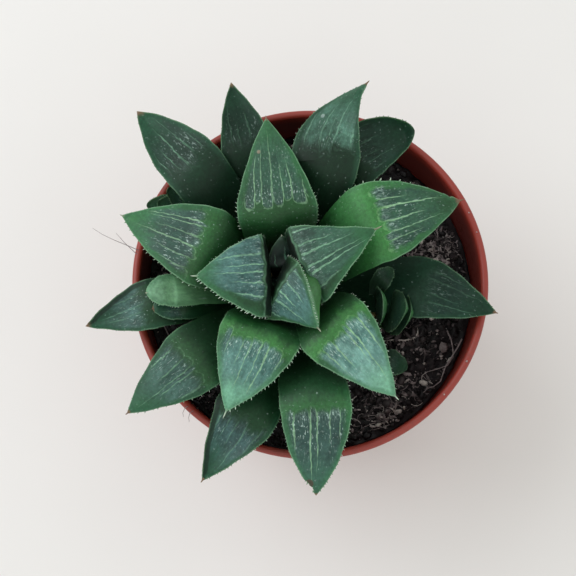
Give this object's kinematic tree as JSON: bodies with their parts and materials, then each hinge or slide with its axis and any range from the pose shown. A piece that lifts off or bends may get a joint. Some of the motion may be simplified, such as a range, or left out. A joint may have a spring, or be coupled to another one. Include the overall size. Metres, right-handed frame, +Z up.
{
  "type": "potted haworthia",
  "caption": "Small succulent rosette of thick, toothed, pointed leaves with windowed ends, with young offsets beside it, growing in peat in a thin round nursery pot.",
  "frame": {"origin": "centre of the pot's foot, on the surface that it stands on", "axes": "+Z up along the pot's axis, -Y toward the viewer of the picture, +X to the right"},
  "size_m": [0.0961, 0.0984, 0.0924],
  "materials": {
    "leaf": "satin",
    "offset_leaf": "satin",
    "stem": "matte",
    "peat": "matte",
    "pot": "satin"
  },
  "bodies": {
    "root": {"stem": "stem", "leaf_01": "leaf", "leaf_02": "leaf", "leaf_03": "leaf", "leaf_04": "leaf", "leaf_05": "leaf", "leaf_06": "leaf", "leaf_07": "leaf", "leaf_08": "leaf", "leaf_09": "leaf", "leaf_10": "leaf", "leaf_11": "leaf", "leaf_12": "leaf", "leaf_13": "leaf", "leaf_14": "leaf", "leaf_15": "leaf", "leaf_16": "leaf", "leaf_17": "leaf", "leaf_18": "leaf", "leaf_19": "leaf", "leaf_20": "leaf", "leaf_21": "leaf", "offset_right_stalk": "stem", "offset_right_leaf_1": "offset_leaf", "offset_right_leaf_2": "offset_leaf", "offset_right_leaf_3": "offset_leaf", "offset_right_leaf_4": "offset_leaf", "offset_lower_right_stalk": "stem", "offset_lower_right_leaf_1": "offset_leaf", "offset_lower_right_leaf_2": "offset_leaf", "offset_upper_left_stalk": "stem", "offset_upper_left_leaf_1": "offset_leaf", "offset_upper_left_leaf_2": "offset_leaf", "offset_upper_left_leaf_3": "offset_leaf", "soil": "peat", "pot": "pot"}
  },
  "joints": []
}
